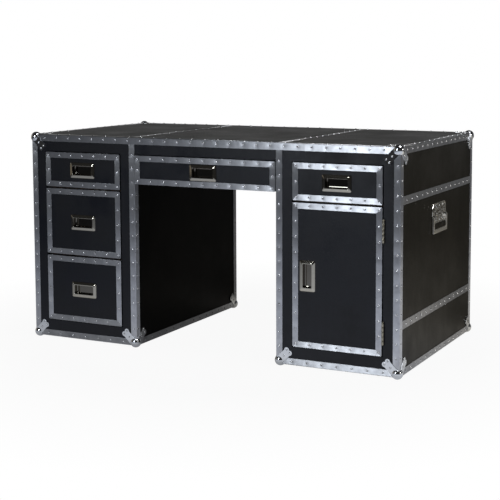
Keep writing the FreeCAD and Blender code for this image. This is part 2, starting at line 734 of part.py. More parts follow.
def handle_bail(side):
    """The U shaped bail, with an eye on each trunnion and a deep grip across its foot."""
    body, planes = new_body(side + "BailBar")
    foot = "pivot_height - bail_drop"
    grip = "pivot_height - bail_drop + grip_height"
    sketch = outline(body, planes["YZ_Plane"], side + "BailOutline", [
        ("-bail_outer", foot), ("bail_outer", foot), ("bail_outer", "pivot_height"),
        ("bail_inner", "pivot_height"), ("bail_inner", grip), ("-bail_inner", grip),
        ("-bail_inner", "pivot_height"), ("-bail_outer", "pivot_height"),
    ])
    bar = pad(body, sketch, side + "BailPad", "bail_thickness", both_ways=True)
    pivot_x = across(side, "pivot_out", "pivot_out")[0]
    body.setExpression("Placement.Base.x", bound(pivot_x))
    doc.recompute()
    top = bar.Shape.BoundBox.ZMax
    eased = body.newObject("PartDesign::Fillet", side + "BailEdges")
    eased.Base = (bar, [f"Edge{k}" for k, edge in enumerate(bar.Shape.Edges, start=1)
                        if abs(edge.BoundBox.ZMax - bar.Shape.BoundBox.ZMin) < value("bail_round")
                        and edge.BoundBox.ZMax < top])
    eased.setExpression("Radius", bound("bail_round"))
    body.Tip = eased
    pieces = [body]
    bores = []
    along = FreeCAD.Vector(0, 1, 0)
    for end, start in (("Front", "-bail_outer"), ("Rear", "bail_inner")):
        pieces.append(cylinder(f"{side}{end}Eye", "bail_thickness / 2", "bail_leg", pivot_x, start,
                               "pivot_height", along))
        bores.append(cylinder(f"{side}{end}Bore", "trunnion_radius + trunnion_clear",
                              "bail_leg + 2 * overrun", pivot_x, f"{start} - overrun", "pivot_height",
                              along))
    return cut(side + "HandleBail", fuse(side + "BailSolid", pieces), fuse(side + "BailBores", bores))


def handles():
    """A plate and a bail on each side."""
    node("handle_plates", group("HandlePlates", [handle_plate(side) for side in ("left", "right")]))
    for side in ("left", "right"):
        node(f"{side}_handle_bail", handle_bail(side))


# Rivets


def rivet_dome():
    """A rivet head: the cap of a ball, standing on its flat at the origin."""
    radius, height = value("rivet_radius"), value("rivet_height")
    ball = (radius ** 2 + height ** 2) / (2 * height)
    flat = math.degrees(math.asin((ball - height) / ball))
    return Part.makeSphere(ball, FreeCAD.Vector(0, 0, height - ball), FreeCAD.Vector(0, 0, 1),
                           flat, 90, 360)


def spread(first, last, pitch):
    """Places from first to last, evenly, about one pitch apart."""
    steps = max(1, round((last - first) / pitch))
    return [first + (last - first) * k / steps for k in range(steps + 1)]


def rivet_group(label, seats):
    """A rivet head on every seat: a point and the way it faces."""
    dome = rivet_dome()
    heads = []
    for point, facing in seats:
        head = dome.copy()
        turn = FreeCAD.Rotation(FreeCAD.Vector(0, 0, 1), FreeCAD.Vector(*facing))
        head.Placement = FreeCAD.Placement(FreeCAD.Vector(*point), turn)
        heads.append(head)
    name = "".join(word.title() for word in label.split("_"))
    node(label, feature(name, Part.makeCompound(heads)))


def front_seats(box):
    """Rivet seats round the trim of a front that fills a box."""
    line, pitch, plane = value("trim_rivet_line"), value("rivet_pitch"), value("trim_plane")
    columns = spread(box.XMin + line, box.XMax - line, pitch)
    rows = spread(box.ZMin + line, box.ZMax - line, pitch)
    seats = [(x, z) for x in columns for z in (rows[0], rows[-1])]
    seats += [(x, z) for z in rows[1:-1] for x in (columns[0], columns[-1])]
    return [((x, plane, z), (0, -1, 0)) for x, z in seats]


def top_seats():
    """Rivets along the top's edge angles and divider strips."""
    half_width, half_depth, top = value("half_width"), value("half_depth"), value("body_top")
    line, start, pitch = value("rivet_line"), value("rivet_start"), value("rivet_pitch")
    seats = []
    for x in spread(start - half_width, half_width - start, pitch):
        for way in (-1, 1):
            seats.append(((x, way * half_depth, top - line), (0, way, 0)))
            seats.append(((x, way * (half_depth - line), top), (0, 0, 1)))
    dividers = value("knee_edge") + value("strip_width") / 2
    for y in spread(start - half_depth, half_depth - start, pitch):
        for way in (-1, 1):
            seats.append(((way * half_width, y, top - line), (way, 0, 0)))
            seats.append(((way * (half_width - line), y, top), (0, 0, 1)))
            seats.append(((way * dividers, y, top), (0, 0, 1)))
    return seats


def pedestal_seats(way):
    """Rivets on one pedestal's angles and bands; way is -1 on the left and 1 on the right."""
    half_width, half_depth, knee = value("half_width"), value("half_depth"), value("knee_edge")
    lift, top, line = value("lift"), value("body_top"), value("rivet_line")
    start, pitch = value("rivet_start"), value("rivet_pitch")
    clear_of_drawer = value("centre_low") - value("rivet_radius") - value("front_gap")
    seats = []
    for z in spread(lift + value("upright_start"), top - value("upright_start"), value("upright_pitch")):
        for rear in (-1, 1):
            for x in (half_width - line, knee + line):
                seats.append(((way * x, rear * half_depth, z), (0, rear, 0)))
            seats.append(((way * half_width, rear * (half_depth - line), z), (way, 0, 0)))
            if z < clear_of_drawer:
                seats.append(((way * knee, rear * (half_depth - line), z), (-way, 0, 0)))
    for x in spread(knee + start, half_width - start, pitch):
        for rear in (-1, 1):
            seats.append(((way * x, rear * half_depth, lift + line), (0, rear, 0)))
    for y in spread(start - half_depth, half_depth - start, pitch):
        seats.append(((way * half_width, y, lift + line), (way, 0, 0)))
        seats.append(((way * knee, y, lift + line), (-way, 0, 0)))
        for band in ("upper_band_level", "lower_band_level"):
            seats.append(((way * half_width, y, value(band)), (way, 0, 0)))
    plate_x = way * (value("side_face") + value("plate"))
    inset = value("plate_rivet_inset")
    for z in (value("handle_top") - inset, value("handle_top") - value("plate_height") + inset):
        for y in (-value("plate_rivet_spread"), 0, value("plate_rivet_spread")):
            seats.append(((plate_x, y, z), (way, 0, 0)))
    return seats


def corner_seats(spot):
    """Three rivets on each leg of a ball corner."""
    point, ways = spot[:3], spot[3:]
    spots = [(value("leg_reach"), value("lobe_offset")), (value("leg_reach"), -value("lobe_offset")),
             (value("leg_rivet_reach"), 0)]
    seats = []
    for along, aside in spots:
        flat = [(along - aside) / math.sqrt(2), (along + aside) / math.sqrt(2), -value("leg_thickness")]
        for turn in range(3):
            local = flat[-turn:] + flat[:-turn]
            facing = [0, 0, 0]
            facing[(2 + turn) % 3] = -ways[(2 + turn) % 3]
            seats.append((tuple(p + way * step for p, way, step in zip(point, ways, local)), tuple(facing)))
    return seats


def rivets():
    """Rivet groups: one for each body of the desk that carries them."""
    groups = {"top_rivets": top_seats(), "left_pedestal_rivets": pedestal_seats(-1),
              "right_pedestal_rivets": pedestal_seats(1)}
    for spot in corner_places():
        if spot[5] < 0:
            groups["top_rivets"] += corner_seats(spot)
        elif spot[0] < 0:
            groups["left_pedestal_rivets"] += corner_seats(spot)
        else:
            groups["right_pedestal_rivets"] += corner_seats(spot)
    for drawer in DRAWERS:
        groups[f"{drawer}_rivets"] = front_seats(nodes[f"{drawer}_front"].Shape.BoundBox)
    groups["door_rivets"] = front_seats(nodes["door_panel"].Shape.BoundBox)
    for label, seats in groups.items():
        rivet_group(label, seats)


carcass()
desktop()
edge_metal()
ball_corners()
drawers()
cupboard()
handles()
doc.recompute()
rivets()
doc.recompute()

faults = [item.Label for item in doc.Objects if "Invalid" in item.State or "Error" in item.State]
for label, item in nodes.items():
    shape = item.Shape
    if shape.isNull() or not shape.isValid() or not shape.Solids:
        faults.append(label)
if faults:
    raise RuntimeError("these failed: " + ", ".join(faults))

os.makedirs("parts", exist_ok=True)
for label, item in nodes.items():
    item.Shape.exportStep(f"parts/{label}.step")
    print(label, len(item.Shape.Solids), "solids", round(item.Shape.Volume), "mm3")
print(len(nodes), "sub-parts")
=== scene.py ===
# %% [markdown]
# A writing desk built like a travelling trunk: black leather glued over boards, satin aluminium
# angle riveted along every edge, bright ball corners, recessed pulls and lifting handles. The
# solids and their joints come packed from the CAD model. This lesson dresses them: it gives each
# finish its grain and wear, eases the sharp edges of the metal, and sets the desk in a plain
# studio.

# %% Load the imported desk
import bpy
import bmesh
import json
import math
from mathutils import Matrix, Vector, noise

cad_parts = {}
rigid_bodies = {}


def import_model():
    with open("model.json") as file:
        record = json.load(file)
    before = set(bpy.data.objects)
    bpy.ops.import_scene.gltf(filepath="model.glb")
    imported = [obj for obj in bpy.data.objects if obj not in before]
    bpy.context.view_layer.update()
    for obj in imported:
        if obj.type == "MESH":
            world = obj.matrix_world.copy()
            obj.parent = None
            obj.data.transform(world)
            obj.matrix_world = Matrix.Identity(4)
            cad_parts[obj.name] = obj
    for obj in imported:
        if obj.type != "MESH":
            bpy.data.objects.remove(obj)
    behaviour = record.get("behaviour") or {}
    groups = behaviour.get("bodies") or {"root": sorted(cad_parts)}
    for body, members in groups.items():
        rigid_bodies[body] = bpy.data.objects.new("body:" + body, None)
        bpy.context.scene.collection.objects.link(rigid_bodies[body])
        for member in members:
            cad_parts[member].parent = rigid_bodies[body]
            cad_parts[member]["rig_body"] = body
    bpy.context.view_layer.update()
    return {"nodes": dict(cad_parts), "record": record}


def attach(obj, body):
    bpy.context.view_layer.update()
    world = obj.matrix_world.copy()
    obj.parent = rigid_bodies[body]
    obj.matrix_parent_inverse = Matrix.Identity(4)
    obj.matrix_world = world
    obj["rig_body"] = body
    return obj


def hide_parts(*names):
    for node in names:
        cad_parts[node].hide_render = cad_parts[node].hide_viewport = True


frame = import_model()
slot_nodes = {}
for part in frame["record"]["subparts"]:
    slot_nodes.setdefault(part["material_slot"], []).append(part["node"])

# %% [markdown]
# Every finish below is a sum of patterns. Writing those sums as Python keeps them readable, so a
# small class wraps a node socket: adding or multiplying two of them adds the Math node that does
# it.

# %% Sums of sockets
class Field:
    """A number that changes over a surface."""

    def __init__(self, socket):
        self.socket = socket

    def maths(self, operation, other=0.0, swapped=False):
        """The Math node of an operation on this number and another one."""
        tree = self.socket.node.id_data
        made = tree.nodes.new("ShaderNodeMath")
        made.operation = operation
        pair = (other, self) if swapped else (self, other)
        for slot, item in zip(made.inputs, pair):
            if isinstance(item, Field):
                tree.links.new(item.socket, slot)
            else:
                slot.default_value = item
        return Field(made.outputs[0])

    def __add__(self, other):
        return self.maths("ADD", other)

    __radd__ = __add__

    def __sub__(self, other):
        return self.maths("SUBTRACT", other)

    def __rsub__(self, other):
        return self.maths("SUBTRACT", other, swapped=True)

    def __mul__(self, other):
        return self.maths("MULTIPLY", other)

    __rmul__ = __mul__


# %% [markdown]
# A finish is a Principled shader with such patterns wired into it. One method makes any node on
# request, with its settings first and its sockets after. The short methods on top of it give what
# most finishes need: a place on the object, noise, a blend of two colours, and a bump.

# %% A finish to put them in
class Wiring:
    """A tree of nodes, of a material or of the world."""

    def __init__(self, tree):
        self.tree = tree

    def node(self, kind, settings=None, sockets=None, output=0):
        """Any node. A socket takes a plain value, or a Field to be linked to it."""
        made = self.tree.nodes.new(kind)
        for name, setting in (settings or {}).items():
            setattr(made, name, setting)
        for name, item in (sockets or {}).items():
            if isinstance(item, Field):
                self.tree.links.new(item.socket, made.inputs[name])
            else:
                made.inputs[name].default_value = item
        return Field(made.outputs[output])

    def within(self, field, low, high):
        """0 at low, 1 at high, and no less or more beyond them."""
        return self.node("ShaderNodeMapRange", {"clamp": True}, {
            "Value": field, "From Min": low, "From Max": high})


class Finish(Wiring):
    """One material: a Principled shader, and whatever patterns feed it."""

    def __init__(self, name, **plain):
        self.material = bpy.data.materials.new(name)
        self.material.use_nodes = True
        super().__init__(self.material.node_tree)
        self.shader = self.tree.nodes["Principled BSDF"]
        for socket, number in plain.items():
            self.shader.inputs[socket.replace("_", " ")].default_value = number

    def feed(self, socket, field):
        self.tree.links.new(field.socket, self.shader.inputs[socket])

    def place(self, stretch=(1, 1, 1)):
        """The object's own coordinates, scaled along each axis."""
        spot = self.node("ShaderNodeTexCoord", output="Object")
        return self.node("ShaderNodeMapping", None, {"Vector": spot, "Scale": stretch})

    def noise(self, where, scale, detail=3.0, roughness=0.5):
        return self.node("ShaderNodeTexNoise", None, {
            "Vector": where, "Scale": scale, "Detail": detail, "Roughness": roughness})

    def blend(self, share, first, second):
        """A mix of two colours. The Mix node's sockets share names, so they are given by number."""
        return self.node("ShaderNodeMix", {"data_type": "RGBA"}, {0: share, 6: first, 7: second}, 2)

    def bump(self, height, depth, strength=1.0):
        self.feed("Normal", self.node("ShaderNodeBump", None, {
            "Height": height, "Distance": depth, "Strength": strength}))


def dress(finish, names):
    """Give CAD nodes a finish, in place of the plain colour they came with."""
    for name in names:
        mesh = frame["nodes"][name].data
        mesh.materials.clear()
        mesh.materials.append(finish.material)
    print(finish.material.name, "on", len(names), "nodes")


# %% [markdown]
# The leather is smooth hide dyed nearly black, with a fine pebble, a web of soft creases, and
# cloudy patches where the dye took differently. A picture could give all that, but patterns on
# the object's own coordinates run on unbroken from board to board and need no unwrapping, so
# noise and cell patterns are summed instead. The other faces get lit and shaded copies of the
# front hide: the top is painted a little lighter and greyer as sheen, the outer sides browner
# and lighter as warm light, and the knee space darkest as painted shade.

# %% Black leather
hide_roughness = 0.42
crease_depth = 0.0006


def dyed_leather(name, gloss, dark, light, wear=0.10):
    """A hide dyed between two colours, whose roughness varies by its wear."""
    finish = Finish(name, Specular_IOR_Level=gloss)
    spot = finish.place()
    pebble = finish.node("ShaderNodeTexVoronoi", {"feature": "SMOOTH_F1"},
                         {"Vector": spot, "Scale": 620.0, "Smoothness": 0.7})
    creases = finish.noise(spot, 150.0, detail=4.0, roughness=0.65)
    clouds = finish.within(finish.noise(spot, 6.0, detail=6.0, roughness=0.62), 0.32, 0.68)
    streaks = finish.noise(finish.place((1, 1, 0.12)), 38.0, detail=4.0, roughness=0.6)
    worn = finish.within(clouds * 0.6 + streaks * 0.4, 0.25, 0.75)
    finish.feed("Base Color", finish.blend(worn, dark, light))
    finish.feed("Roughness", hide_roughness + wear * (0.5 - worn))
    finish.bump(creases - 0.6 * pebble, crease_depth, strength=0.4)
    return finish


front_leather = dyed_leather(
    "front_leather", 0.34, (0.0022, 0.0027, 0.0056, 1), (0.0062, 0.0072, 0.0128, 1), wear=0.24)
# painted warm light: the outer sides are browner and lighter than the front
side_leather_painted_warm_light = dyed_leather(
    "side_leather_painted_warm_light", 0.1, (0.014, 0.0120, 0.0078, 1), (0.022, 0.0192, 0.0135, 1))
# painted sheen: the top is lighter and greyer than the front
top_leather = dyed_leather(
    "top_leather", 0.5, (0.0060, 0.0058, 0.0050, 1), (0.0110, 0.0105, 0.0095, 1))
# painted shade: the knee space is darker than the front
knee_leather_painted_shade = dyed_leather(
    "knee_leather_painted_shade", 0.08, (0.0014, 0.0014, 0.0014, 1), (0.0030, 0.0029, 0.0027, 1))
covered = {"left_outer_side": side_leather_painted_warm_light, "right_outer_side": side_leather_painted_warm_light,
           "left_inner_side": knee_leather_painted_shade, "right_inner_side": knee_leather_painted_shade,
           "top_leather_panels": top_leather}
for hide in (side_leather_painted_warm_light, knee_leather_painted_shade, top_leather, front_leather):
    dress(hide, [name for name in slot_nodes["black_leather"]
                 if covered.get(name, front_leather) is hide])

# %% [markdown]
# The trim is thin aluminium, brushed along its length and riveted every two inches. Brushing
# stretches a highlight across the strip, so a level strip and an upright one catch different
# lamps: two finishes are made, alike but for the turn of their anisotropy. The rivets pull the
# sheet down, and it lies in shallow waves between them. A map laid along each strip counts rivets
# in one direction and metres from their line in the other, so the same few sums put a dimple
# round every rivet.

# %% Brushed aluminium, level and upright
pitch_squared = 0.0026
dimple_falloff = -150.0
brush_scale = (2.0, 900.0, 1)
sheet_relief = 0.0016


def brushed_aluminium(name, turn):
    """Sheet that is brushed along its grain map, and dimpled round the rivets that the map counts."""
    finish = Finish(name, Metallic=1.0, Anisotropic=0.95, Anisotropic_Rotation=turn)
    grain = finish.node("ShaderNodeUVMap", {"uv_map": "grain"})
    count = finish.node("ShaderNodeSeparateXYZ", None, {"Vector": grain}, "X")
    across = finish.node("ShaderNodeSeparateXYZ", None, {"Vector": grain}, "Y")
    beside = 0.5 - (count.maths("FRACT") - 0.5).maths("ABSOLUTE")
    reach = (beside * beside * pitch_squared + across * across).maths("SQRT")
    dimple = (reach * dimple_falloff).maths("EXPONENT")
    brush = finish.node("ShaderNodeMapping", None, {"Vector": grain, "Scale": brush_scale})
    brush_lines = finish.noise(brush, 1.0, detail=3.0, roughness=0.6)
    spot = finish.place()
    buckles = finish.noise(spot, 22.0, detail=2.0, roughness=0.5)
    smudges = finish.within(finish.noise(spot, 30.0, detail=5.0, roughness=0.65), 0.35, 0.7)
    finish.feed("Base Color", finish.blend(smudges, (0.62, 0.63, 0.66, 1), (0.50, 0.51, 0.54, 1)))
    finish.feed("Roughness", 0.38 + 0.08 * smudges + 0.06 * brush_lines)
    finish.bump(buckles * 0.6 - 0.7 * dimple + brush_lines * 0.02, sheet_relief, strength=0.6)
    return finish


level_aluminium = brushed_aluminium("level_aluminium", turn=0.25)
upright_aluminium = brushed_aluminium("upright_aluminium", turn=0.0)
print("two brushed finishes, which read the grain map of each strip")

# %% [markdown]
# The rivets are soft aluminium too, set with a hammer and a snap. Each dome is a little
# different: some are brighter, some duller, and all have fine dents from the tool. Noise finer
# than a rivet gives the dents, and noise as wide as the gap between rivets tells one dome from
# the next.

# %% Hammered rivets
rivet_metal = Finish("rivet_metal", Metallic=1.0)
spot = rivet_metal.place()
dents = rivet_metal.noise(spot, 700.0, detail=2.0)
each = rivet_metal.within(rivet_metal.noise(spot, 24.0, detail=1.0), 0.35, 0.65)
dull, bright = (0.60, 0.61, 0.63, 1), (0.74, 0.75, 0.77, 1)
rivet_metal.feed("Base Color", rivet_metal.blend(each, dull, bright))
rivet_metal.feed("Roughness", 0.20 + 0.08 * dents + 0.05 * each)
rivet_metal.bump(dents, 0.0002, strength=0.2)
dress(rivet_metal, slot_nodes["rivet_metal"])

# %% [markdown]
# Ball corners, pulls, handles and hinges are pressed steel with bright plate. Plate is nearly a
# mirror, so most of its look is what it mirrors. What is its own is a faint haze, and hairline
# scratches from years of hands. The corners are chromed and look blue-white, pulls and handles
# are nickelled and look warmer, and the hinges have dulled to brown. In the pans of the pulls the
# nickel is painted darker and browner: painted shade, for the dark that the pans mirror.

# %% Bright plate
# painted shade: the pans of the pulls are darkened and browned between these depths
pan_shade_from, pan_shade_to = -0.391, -0.386
pan_shade_brown = (0.05, 0.045, 0.04, 1)


def plating(name, dark, light, smooth, painted_pan_shade=0.0):
    """Plate between two colours. Painted pan shade is the strength of the painted shade behind the
    rim of a pull.
    """
    finish = Finish(name, Metallic=1.0)
    spot = finish.place()
    haze = finish.noise(spot, 90.0, detail=4.0, roughness=0.6)
    level_rubs = finish.noise(finish.place((9, 9, 300)), 6.0, detail=2.0)
    upright_rubs = finish.noise(finish.place((300, 300, 9)), 6.0, detail=2.0)
    hairlines = finish.within(level_rubs + upright_rubs, 1.15, 1.45)
    colour = finish.blend(haze, dark, light)
    # painted shade in the pans of the pulls, in place of the dark they mirror
    if painted_pan_shade:
        depth = finish.node("ShaderNodeSeparateXYZ", None, {"Vector": spot}, "Y")
        tarnish_and_pan_shade = finish.within(depth, pan_shade_from, pan_shade_to) * painted_pan_shade
        colour = finish.blend(tarnish_and_pan_shade, colour, pan_shade_brown)
    finish.feed("Base Color", colour)
    finish.feed("Roughness", smooth + 0.04 * haze + 0.04 * hairlines)
    return finish


chrome = plating("bright_chrome", (0.62, 0.64, 0.67, 1), (0.74, 0.76, 0.79, 1), 0.03)
# the nickel of the pulls carries painted shade in their pans
nickel = plating("bright_nickel", (0.40, 0.375, 0.32, 1), (0.51, 0.48, 0.42, 1), 0.04, painted_pan_shade=0.7)
satin_nickel = plating("satin_nickel", (0.80, 0.77, 0.70, 1), (0.90, 0.87, 0.80, 1), 0.36)
hammered_nickel = plating("hammered_nickel", (0.66, 0.64, 0.58, 1), (0.84, 0.81, 0.75, 1), 0.10)
hinge_steel = plating("hinge_steel", (0.28, 0.255, 0.20, 1), (0.38, 0.35, 0.28, 1), 0.26)
plated = {"ball_corners": chrome, "handle_plates": hammered_nickel,
          "left_handle_bail": satin_nickel, "right_handle_bail": satin_nickel,
          "hinge_frame_leaves": hinge_steel, "hinge_door_leaves": hinge_steel,
          "hinge_pins": hinge_steel}
for plate in (chrome, hammered_nickel, satin_nickel, hinge_steel, nickel):
    dress(plate, [name for name in slot_nodes["chrome"] if plated.get(name, nickel) is plate])

# %% [markdown]
# The drawer boxes, their runners and the shelf are of a dark stained hardwood, seen only when
# something is open. A wave pattern bent by noise gives the figure of a sawn board, running front
# to back, and fine stretched noise gives its pores. The stain is darkest in the pores, and they
# are also a little rougher.

# %% Stained hardwood
wood = Finish("drawer_wood", Specular_IOR_Level=0.3)
figure = wood.node("ShaderNodeTexWave", {"wave_type": "BANDS", "bands_direction": "DIAGONAL"}, {
    "Vector": wood.place((9, 0.9, 9)), "Scale": 2.2, "Distortion": 6.0,
    "Detail": 3.0, "Detail Scale": 1.2}, "Fac")
pores = wood.within(wood.noise(wood.place((90, 3, 90)), 9.0), 0.4, 0.62)
stain = wood.blend(figure, (0.030, 0.017, 0.010, 1), (0.105, 0.062, 0.036, 1))
wood.feed("Base Color", wood.blend(pores * 0.5, stain, (0.016, 0.009, 0.006, 1)))
wood.feed("Roughness", 0.42 + 0.2 * pores)
wood.bump(1 - pores, 0.0003, strength=0.35)
dress(wood, slot_nodes["drawer_wood"])

# %% [markdown]
# Two small fittings hold the door shut: a black plastic case with a magnet in it, and a steel
# strike plate. The case has the fine spark texture of a moulded part. The plate was rolled, so
# its scratches all run one way.

# %% Catch and strike
catch = Finish("catch_plastic", Specular_IOR_Level=0.4)
grit = catch.noise(catch.place(), 1400.0, detail=2.0)
scuffs = catch.within(catch.noise(catch.place(), 160.0, detail=5.0, roughness=0.7), 0.5, 0.75)
catch.feed("Base Color", catch.blend(scuffs, (0.012, 0.012, 0.013, 1), (0.035, 0.035, 0.036, 1)))
catch.feed("Roughness", 0.38 + 0.15 * grit + 0.1 * scuffs)
catch.bump(grit, 0.0002, strength=0.4)
dress(catch, slot_nodes["catch_plastic"])

strike = Finish("strike_steel", Metallic=1.0)
rolled = strike.noise(strike.place((900, 40, 40)), 1.0, detail=4.0, roughness=0.6)
tarnish_and_pan_shade = strike.within(strike.noise(strike.place(), 70.0, detail=5.0, roughness=0.6), 0.45, 0.7)
strike.feed("Base Color", strike.blend(tarnish_and_pan_shade, (0.52, 0.52, 0.53, 1), (0.33, 0.32, 0.31, 1)))
strike.feed("Roughness", 0.25 + 0.15 * rolled + 0.15 * tarnish_and_pan_shade)
strike.bump(rolled, 0.0001, strength=0.3)
dress(strike, slot_nodes["strike_steel"])

# %% [markdown]
# The CAD strips have knife edges. Real ones are deburred, and the angle is folded round a small
# radius, which draws a thin bright line along every corner of the desk. Copies of the strips are
# eased with a bevel and stand in for the solids. A bevel needs closed solids that share no
# corners. Where two strips meet in a mitre, merging leaves one sheet between them, so it is
# deleted and both ends are closed again.

# %% Easing the edges of metal
sharp_angle = math.radians(35)
smooth_angle = math.radians(30)
flat_angle = math.radians(0.5)
weld_distance = 2e-6
behind_face = 1e-4
fewest_faces = 4


def loose_parts(bm):
    """The separate shells of a mesh, each a list of faces, also where two touch along a mitre."""
    waiting = dict.fromkeys(bm.faces)
    while waiting:
        shell = [waiting.popitem()[0]]
        for face in shell:
            near = [other for edge in face.edges if len(edge.link_faces) == 2
                    for other in edge.link_faces if other in waiting]
            for other in dict.fromkeys(near):
                del waiting[other]
                shell.append(other)
        yield shell


def sharp_edges(bm, smallest_face=0.0):
    """Edges where two faces, both of at least some size, meet at a clear outward angle."""
    return [edge for edge in bm.edges if len(edge.link_faces) == 2 and edge.is_convex
            and edge.calc_face_angle() > sharp_angle
            and min(face.calc_area() for face in edge.link_faces) > smallest_face]


def ease(bm, edges, width, segments):
    """Round edges over a width."""
    bmesh.ops.bevel(bm, geom=edges, offset=width, offset_type="OFFSET", affect="EDGES",
                    segments=segments, profile=0.5, material=-1, clamp_overlap=True)


def merged_copy(node, parting=0.0):
    """A copy of a CAD node's mesh, joined, with solids that touch taken apart and closed.

    Solids that stand on others at the parting height are merged apart from them.
    """
    bm = bmesh.new()
    bm.from_mesh(frame["nodes"][node].data)
    above = [face for face in bm.faces
             if (face.calc_center_median() - behind_face * face.normal).z > parting]
    upper = dict.fromkeys(vert for face in above for vert in face.verts)
    lower = [vert for vert in bm.verts if vert not in upper]
    bmesh.ops.remove_doubles(bm, verts=list(upper), dist=weld_distance)
    bmesh.ops.remove_doubles(bm, verts=lower, dist=weld_distance)
    bmesh.ops.dissolve_limit(bm, angle_limit=flat_angle, verts=bm.verts, edges=bm.edges)
    shells = list(loose_parts(bm))
    shared = [face for shell in shells if len(shell) < fewest_faces for face in shell]
    bmesh.ops.delete(bm, geom=shared, context="FACES")
    for shell in shells:
        if len(shell) >= fewest_faces:
            bmesh.ops.split(bm, geom=shell)
    bare_edges = [edge for edge in bm.edges if not edge.link_faces]
    bmesh.ops.delete(bm, geom=bare_edges, context="EDGES")
    bare_verts = [vert for vert in bm.verts if not vert.link_faces]
    bmesh.ops.delete(bm, geom=bare_verts, context="VERTS")
    open_ends = [edge for edge in bm.edges if edge.is_boundary]
    bmesh.ops.holes_fill(bm, edges=open_ends, sides=0)
    bmesh.ops.recalc_face_normals(bm, faces=bm.faces)
    return bm


def stand_in(bm, node, finishes, smooth_below=0.0):
    """The piece that is shown in place of a CAD node. Its small faces are shaded as one curve."""
    mesh = bpy.data.meshes.new("eased_" + node)
    for finish in finishes:
        mesh.materials.append(finish.material)
    for face in bm.faces:
        face.smooth = face.calc_area() < smooth_below
    for edge in bm.edges:
        edge.smooth = edge.is_manifold and edge.calc_face_angle() < smooth_angle
    bm.to_mesh(mesh)
    bm.free()
    piece = bpy.data.objects.new("eased_" + node, mesh)
    bpy.context.scene.collection.objects.link(piece)
    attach(piece, frame["nodes"][node]["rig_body"])
    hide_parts(node)
    return piece


# %% [markdown]
# The brushed finish has to know where the rivets are. An automatic unwrap can't tell it, so the
# map is laid strip by strip. The longest side of a strip is the way it runs. Rivets are counted
# along it from the first to the last, and the other direction is measured from their line: on an
# angle a fixed distance from the fold, and on a flat strip the middle.

# %% Strips, with their grain
fold_radius = 0.0025
burr_width = 0.0005
folded_area = 0.004
angle_thickness = 0.005
rivet_pitch = 0.0515
fold_to_rivets = 0.012
frame_margin = 0.011
upright_rivets = (0.037, 0.049)
ring_top = 0.0315
strip_margins = {"top_edge_trim": 0.058, "top_divider_strips": 0.034, "side_bands": 0.034,
                 "left_edge_angles": 0.058, "right_edge_angles": 0.058}


def lay_grain(bm, margin):
    """Map each strip: rivets counted along it, and metres from the rivet line across it."""
    grain = bm.loops.layers.uv.new("grain")
    for shell in loose_parts(bm):
        points = [vert.co for face in shell for vert in face.verts]
        low = Vector([min(point[k] for point in points) for k in range(3)])
        high = Vector([max(point[k] for point in points) for k in range(3)])
        size = high - low
        along = max(range(3), key=lambda k: size[k])
        is_angle = min(size) > angle_thickness
        inset, gap = upright_rivets if is_angle and along == 2 else (margin, rivet_pitch)
        first, last = low[along] + inset, high[along] - inset
        step = (last - first) / max(1, round((last - first) / gap))
        area = sum(face.calc_area() for face in shell)
        moments = (face.calc_center_median() * face.calc_area() for face in shell)
        heart = sum(moments, Vector()) / area
        for face in shell:
            face.material_index = 1 if along == 2 else 0
            across = min((k for k in range(3) if k != along), key=lambda k: abs(face.normal[k]))
            middle = (low[across] + high[across]) / 2
            edge = low if heart[across] < middle else high
            for loop in face.loops:
                point = loop.vert.co
                offset = point[across] - middle
                if is_angle:
                    offset = abs(point[across] - edge[across]) - fold_to_rivets
                loop[grain].uv = ((point[along] - first) / step, offset)


for node in slot_nodes["aluminium_trim"]:
    bm = merged_copy(node, parting=ring_top)
    ease(bm, sharp_edges(bm, smallest_face=folded_area), fold_radius, segments=4)
    ease(bm, sharp_edges(bm), burr_width, segments=1)
    lay_grain(bm, strip_margins.get(node, frame_margin))
    stand_in(bm, node, (level_aluminium, upright_aluminium))
print("eased", len(slot_nodes["aluminium_trim"]), "strip nodes")

# %% [markdown]
# Plated pieces are pressed and polished, so no edge of them is sharp either. Their balls, eyes
# and knuckles are curved and their legs and rims are flat. The curved parts came as many small
# facets, so a face under a square centimetre is shaded as part of a curve, and a larger one stays
# flat, as a mirror has to. The pans of the pulls are drawn from sheet, so their hollow corners
# are rounded as well, and catch a bar of light. The sloping rims of the pulls meet in mitres,
# which are worn round: a narrow band is cut on each side of a mitre, and the two bands are small
# enough to be shaded as one curve.

# %% Hollows and mitres of the pulls
pan_floor = -0.380
shortest_mitre = 0.005
cut_distance = 1e-6


def pan_edges(bm):
    """The hollow edges of a pull's pan: round its floor, and up its four corners."""
    return [edge for edge in bm.edges if len(edge.link_faces) == 2 and not edge.is_convex
            and edge.calc_face_angle() > sharp_angle
            and max(vert.co.y for vert in edge.verts) > pan_floor]


def band_mitres(bm, width):
    """Cut a band of some width on each side of the mitres of a pull's rim."""
    mitres = [edge for edge in bm.edges
              if len(edge.link_faces) == 2 and edge.calc_length() > shortest_mitre
              and math.radians(24) < edge.calc_face_angle() < smooth_angle
              and max(face.normal.y for face in edge.link_faces) < -0.9]
    for edge in mitres:
        start = edge.verts[0].co.copy()
        across = (edge.verts[1].co - start).cross(Vector((0, 1, 0))).normalized()
        for face in list(edge.link_faces):
            way = 1 if (face.calc_center_median() - start).dot(across) > 0 else -1
            bmesh.ops.bisect_plane(bm, geom=[face, *face.edges, *face.verts], dist=cut_distance,
                                   plane_co=start + way * width * across, plane_no=across)
    return len(mitres)


# %% [markdown]
# The plates behind the side handles are hammered all over. Their outer skins are cut into a fine
# grid, and the grid is pushed in: cell noise splits a skin into patches, and each patch is one
# blow, deepest in its middle. Round the rivets the skin stays flat, so that their heads sit on
# it.

